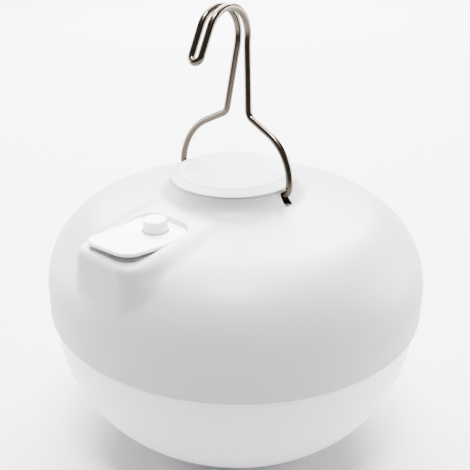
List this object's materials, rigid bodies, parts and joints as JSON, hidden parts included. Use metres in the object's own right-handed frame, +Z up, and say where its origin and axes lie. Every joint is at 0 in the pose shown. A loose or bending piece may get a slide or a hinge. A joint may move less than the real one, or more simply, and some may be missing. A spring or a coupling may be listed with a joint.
{
  "type": "rechargeable_hanging_pool_lamp",
  "caption": "Cherry-shaped floating lamp, 200 mm across: domed white housing with port pod, translucent bowl, beige seal and a folding steel wire hook on the neck.",
  "frame": {"origin": "middle of the flat base", "axes": "+Z up through the cap, the pod with button and port points to -Y, the hook turns about a line along X"},
  "size_m": [0.2, 0.2, 0.2304],
  "materials": {
    "housing_plastic": "fine matte texture, moulded",
    "diffuser_plastic": "translucent, satin",
    "seal_rubber": "soft, matte",
    "silicone": "soft, smooth, matte",
    "stainless_wire": "polished stainless steel",
    "spring_steel": "bright drawn",
    "screw_steel": "zinc plated",
    "nylon": "natural nylon",
    "black_plastic": "moulded",
    "dark_lens": "smoked, clear",
    "board": "solder mask",
    "reflector_white": "white, satin",
    "lamp_phosphor": "phosphor under silicone",
    "cell_sleeve": "shrink sleeve",
    "lead_jacket": "flexible jacket"
  },
  "bodies": {
    "body": {"upper_housing": "housing_plastic", "top_cap": "housing_plastic", "cap_seal": "seal_rubber", "hook_bushes": "nylon", "cover_pad": "silicone", "button_spring": "spring_steel", "tact_switch": "black_plastic", "charge_socket": "stainless_wire", "socket_gasket": "silicone", "port_board": "board", "port_screws": "screw_steel", "status_light": "dark_lens", "seal_ring": "seal_rubber", "diffuser_bowl": "diffuser_plastic", "mounting_plate": "housing_plastic", "plate_screws": "screw_steel", "reflector": "reflector_white", "lamp_board": "reflector_white", "lamps": "lamp_phosphor", "lamp_screws": "screw_steel", "battery_holder": "black_plastic", "battery_cells": "cell_sleeve", "battery_tabs": "spring_steel", "battery_strap": "spring_steel", "strap_screws": "screw_steel", "main_board": "board", "board_parts": "black_plastic", "board_screws": "screw_steel", "battery_lead": "lead_jacket", "lamp_lead": "lead_jacket", "port_lead": "lead_jacket"},
    "hook": {"hook_wire": "stainless_wire", "hook_clips": "spring_steel"},
    "flap": {"port_flap": "silicone"},
    "button": {"power_button": "silicone", "button_clip": "spring_steel"}
  },
  "joints": [
    {"name": "hook_hinge", "type": "hinge", "parent": "body", "child": "hook", "pos_m": [0, 0, 0.14152], "axis": [1, 0, 0], "range_deg": [-70, 42]},
    {"name": "flap_hinge", "type": "hinge", "parent": "body", "child": "flap", "pos_m": [0, -0.0645, 0.1342], "axis": [-1, 0, 0], "range_deg": [-3.5, 95]},
    {"name": "button_press", "type": "slide", "parent": "body", "child": "button", "axis": [0, 0, -1], "range_m": [0, 0.0008], "stiffness_N_per_m": 1500, "deforming": ["button_spring"]}
  ]
}
